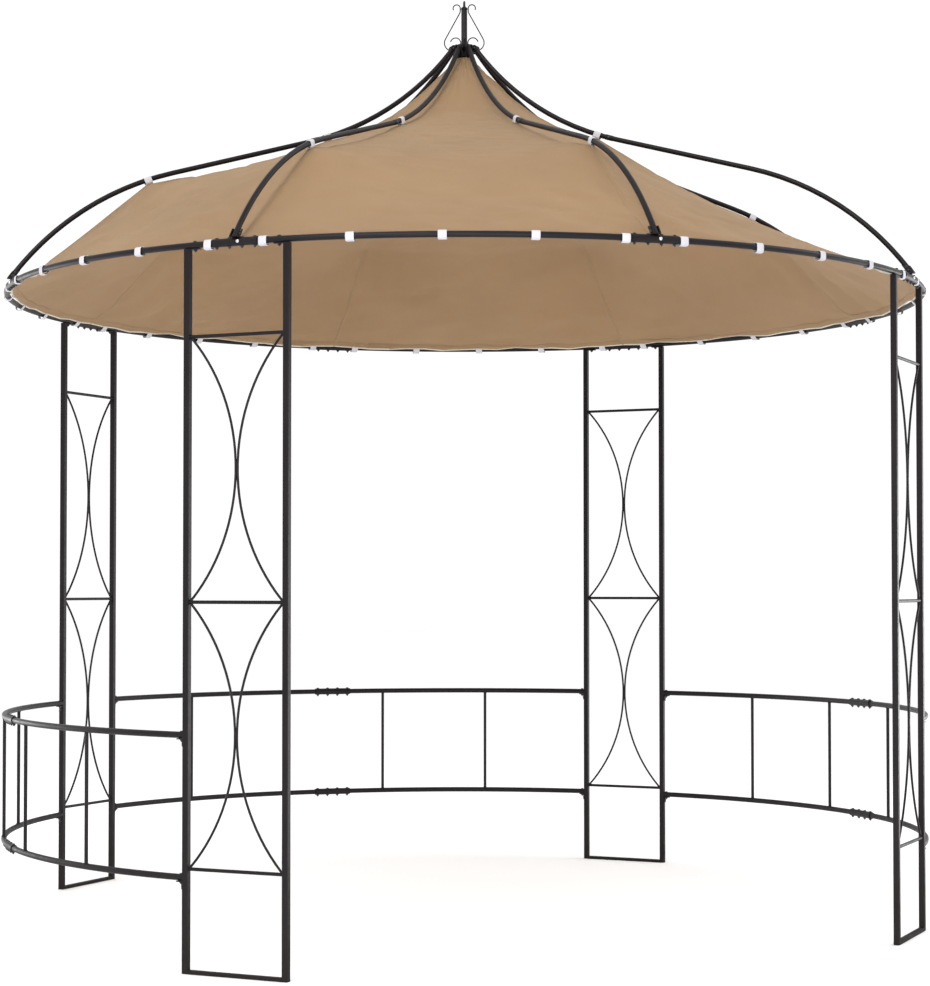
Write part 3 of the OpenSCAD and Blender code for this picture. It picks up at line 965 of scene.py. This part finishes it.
def sleeve_bolts(bm, node):
    """Four bolts down through each sleeve: heads above, nuts below."""
    for points in islands(node):
        at = middle(points)
        deg = heading(at)
        z = (min(p.z for p in points) + max(p.z for p in points)) / 2
        for k in (-1.5, -0.5, 0.5, 1.5):
            here = around(deg + math.degrees(k * BOLT_PITCH / RING_R), RING_R, z)
            dome_head(bm, here + UP * (SLEEVE_R - 0.0003), UP, 0.011, 0.0036)
            hex_nut(bm, here - UP * (SLEEVE_R - 0.0003), -UP, 0.0085, 0.0042)


def tab_bolts(bm):
    """A bolt down through the ring and the tab at the top of each post."""
    for points in islands("post_tabs"):
        at = middle(points)
        deg = heading(at)
        dome_head(bm, around(deg, RING_R, RING_Z + TUBE_D / 2 - 0.0004), UP, 0.012, 0.004)
        low = min(p.z for p in points)
        hex_nut(bm, Vector((at.x, at.y, low)), -UP, 0.009, 0.0045)


def bracket_bolts(bm):
    """Rail brackets: one bolt into the post, one through the rail's end."""
    for points in islands("rail_brackets"):
        at = middle(points)
        column = nearest(heading(at), COLUMN_DIRS)
        along = along_from(column)
        sign = 1 if at.dot(along) > 0 else -1
        spread = sorted({round(p.dot(along) * sign, 5) for p in points})
        face, leaf = spread[0], spread[1] - spread[0]
        low = min(p.z for p in points)
        top = max(p.z for p in points)
        out = out_from(column)
        r = at.dot(out)
        into = out * r + along * (sign * (face + leaf)) + UP * (low + 0.45 * (top - leaf - low))
        dome_head(bm, into, along * sign, 0.010, 0.0032)
        end = out * r + along * (sign * (spread[-1] - 0.011))
        rail_z = min(rail_zs, key=lambda z: abs(z - top))
        on_rail = around(heading(end), RING_R, rail_z + TUBE_D / 2 - 0.0004)
        dome_head(bm, on_rail, UP, 0.010, 0.0034)
        hex_nut(bm, Vector((on_rail.x, on_rail.y, top - leaf)), -UP, 0.008, 0.004)


def foot_bolts(bm):
    """Rib feet: two bolts through cheeks and rib, set from opposite sides."""
    for points in islands("rib_brackets"):
        at = middle(points)
        deg = nearest(heading(at), RIB_DIRS)
        along, out = along_from(deg), out_from(deg)
        half = max(abs(p.dot(along)) for p in points)
        low = min(p.z for p in points)
        high = max(p.z for p in points)
        foot = [p.dot(out) for p in points if p.z < low + 0.001]
        top = [p.dot(out) for p in points if p.z > high - 0.001]
        for share, side in ((0.36, -1), (0.74, 1)):
            r = sum(foot) / len(foot) * (1 - share) + sum(top) / len(top) * share
            here = out * r + UP * (low + share * (high - low))
            dome_head(bm, here + along * (side * half), along * side, 0.009, 0.0045)
            hex_nut(bm, here - along * (side * half), along * -side, 0.0075, 0.0038)


def hub_bolts(bm):
    """One bolt through each rib's end and its two plates."""
    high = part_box("hub")[1]
    for deg in RIB_DIRS:
        along = along_from(deg)
        here = out_from(deg) * (high.x - PLATE_END_R) + UP * (high.z - PLATE_DROP)
        half = RIB_D / 2 + 0.0033
        dome_head(bm, here + along * half, along, 0.009, 0.0026)
        dome_head(bm, here - along * half, -along, 0.008, 0.0024)


def rib_joint(bm, sleeve_bm):
    """The joint in each rib, just outside its upper strap: a short sleeve and a bolt."""
    for deg in RIB_DIRS:
        r = TIE_IN + JOINT_OUT
        half = JOINT_LEN / 2
        rows = []
        side = along_from(deg)
        for s in (-half, -half + 0.0006, 0.0, half - 0.0006, half):
            dip = rib_line.dip(r + s)
            normal = out_from(deg) * math.sin(dip) + UP * math.cos(dip)
            at = around(deg, r + s * math.cos(dip), rib_line.z(r + s * math.cos(dip)))
            grow = 0.0008 if abs(s) < half else 0.0002
            rows.append(add_ring(sleeve_bm, at, side, normal,
                                 [(RIB_D / 2 + grow, 2 * math.pi * k / 28) for k in range(28)]))
        for a, b in zip(rows, rows[1:]):
            join_rings(sleeve_bm, a, b)
        at = around(deg, r, rib_line.z(r))
        for way in (-1, 1):
            dome_head(bm, at + side * (way * (RIB_D / 2 + 0.0006)), side * way, 0.009, 0.003)


def ring_outer_bolts(bm):
    """A bright bolt on the outer face of each ring sleeve, just right of the rib's foot."""
    for deg in RIB_DIRS:
        here = deg + math.degrees(0.012 / RING_R)
        dome_head(bm, around(here, RING_R + SLEEVE_R - 0.0003, RING_Z), out_from(here), 0.010, 0.004)


def lattice_welds(bm):
    """Welds where bars and bows meet the posts."""
    for column, name in zip(COLUMN_DIRS, ("front_left", "back_left", "back_right", "front_right")):
        along, out = along_from(column), out_from(column)
        points = [v.co for v in nodes["lattice_" + name].data.vertices]
        for side in (-1, 1):
            reach = max(p.dot(along) * side for p in points)
            ends = sorted((p for p in points if p.dot(along) * side > reach - 0.0006),
                          key=lambda p: p.z)
            group = []
            for p in ends + [None]:
                if group and (p is None or p.z - group[-1].z > 0.006):
                    at = middle(group)
                    r = max(0.5 * (group[-1].z - group[0].z), 0.0025)
                    if at.z > 2 * r:                        # the bar between the feet is flush
                        weld_bead(bm, at - along * (side * 0.0002), along * side, r)
                    group = []
                if p is not None:
                    group.append(p)


def upright_welds(bm):
    """Welds at the uprights, on top of the lower rail and below the upper one."""
    for wall in ("left", "back", "right"):
        for points in islands("uprights_" + wall):
            at = middle(points)
            r = max(flat_radius(p - at) for p in points)
            for z, way in ((rail_zs[0] + TUBE_D / 2, 1), (rail_zs[1] - TUBE_D / 2, -1)):
                weld_bead(bm, Vector((at.x, at.y, z - way * 0.0012)), UP, r, 0.0018)


def finial_welds(bm):
    low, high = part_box("hub")
    weld_bead(bm, Vector((0, 0, high.z)), UP, 0.0105, 0.0022, 28)


JOINT_OUT, JOINT_LEN = 0.040, 0.026


def build_fixings():
    dark, shiny, welds, sleeves = (bmesh.new() for _ in range(4))
    sleeve_bolts(dark, "ring_sleeves")
    sleeve_bolts(dark, "rail_sleeves")
    tab_bolts(dark)
    bracket_bolts(dark)
    foot_bolts(dark)
    hub_bolts(dark)
    rib_joint(dark, sleeves)
    ring_outer_bolts(shiny)
    lattice_welds(welds)
    upright_welds(welds)
    finial_welds(welds)
    add_piece("bolts_black", dark, black, 35)
    add_piece("bolts_bright", shiny, bright, 35)
    add_piece("weld_beads", welds, paint, 70)
    add_piece("rib_joint_sleeves", sleeves, paint, 40)


build_fixings()


def soften_edges(name, width):
    """Rounds the cut edges of a CAD part."""
    obj = nodes[name]
    weld = obj.modifiers.new("weld", "WELD")
    weld.merge_threshold = 1e-5
    bevel = obj.modifiers.new("soft_edges", "BEVEL")
    bevel.width = width
    bevel.segments = 2
    bevel.limit_method = "ANGLE"
    bevel.angle_limit = math.radians(50)
    bevel.use_clamp_overlap = True


for name in nodes:
    if name.startswith("post_") and name != "post_tabs":
        soften_edges(name, 0.0015)
    elif name in ("post_tabs", "rail_brackets", "rib_brackets", "hub", "finial"):
        soften_edges(name, 0.0005)


def smooth_wire(name):
    """Evens out the bends of a wire that the CAD part gives in short straight steps."""
    obj = nodes[name]
    weld = obj.modifiers.new("weld", "WELD")
    weld.merge_threshold = 1e-5
    even = obj.modifiers.new("even_bends", "SUBSURF")
    even.levels = even.render_levels = 2


smooth_wire("scrolls")


# ---------------------------------------------------------------- ribs

RIB_STEPS, RIB_SIDES = 120, 32


def rib_path():
    """Points (distance from the axis, height) of a rib's centre line, from hub to foot."""
    low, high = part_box("rib_left")
    start = -high.x + RIB_D / 2 * math.sin(rib_line.dip(rib_line.first))
    end = rib_line.last
    while rib_line.z(end) > low.z:
        end += 0.0001
    rs = [start + (end - start) * k / RIB_STEPS for k in range(RIB_STEPS + 1)]
    return [(r, rib_line.z(r)) for r in rs]


def build_ribs():
    """The eight bent round tubes, cut level where they stand on their foot plates."""
    bm = bmesh.new()
    path = rib_path()
    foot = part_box("rib_left")[0].z
    for deg in RIB_DIRS:
        side, out = along_from(deg), out_from(deg)
        rows = []
        for r, z in path:
            dip = rib_line.dip(r)
            normal = out * math.sin(dip) + UP * math.cos(dip)
            rows.append(add_ring(bm, out * r + UP * z, side, normal,
                                 [(RIB_D / 2, 2 * math.pi * k / RIB_SIDES)
                                  for k in range(RIB_SIDES)]))
        along = (out * (path[-1][0] - path[-2][0]) + UP * (path[-1][1] - path[-2][1])).normalized()
        for row in rows[-12:]:
            for v in row:
                if v.co.z < foot or row is rows[-1]:
                    v.co += along * ((foot - v.co.z) / along.z)
        for a, b in zip(rows, rows[1:]):
            join_rings(bm, a, b)
        bm.faces.new(rows[0][::-1])
        bm.faces.new(rows[-1])
    obj = add_piece("rib_tubes", bm, paint, 40)
    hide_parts(*[name for name in nodes
                       if name.startswith("rib_") and name not in ("rib_brackets", "rib_straps")])


build_ribs()


# ---------------------------------------------------------------- closing lines

for name, obj in nodes.items():
    if name not in ("canopy", "ring_straps", "rib_straps"):
        obj.data.materials.clear()
        obj.data.materials.append(paint)
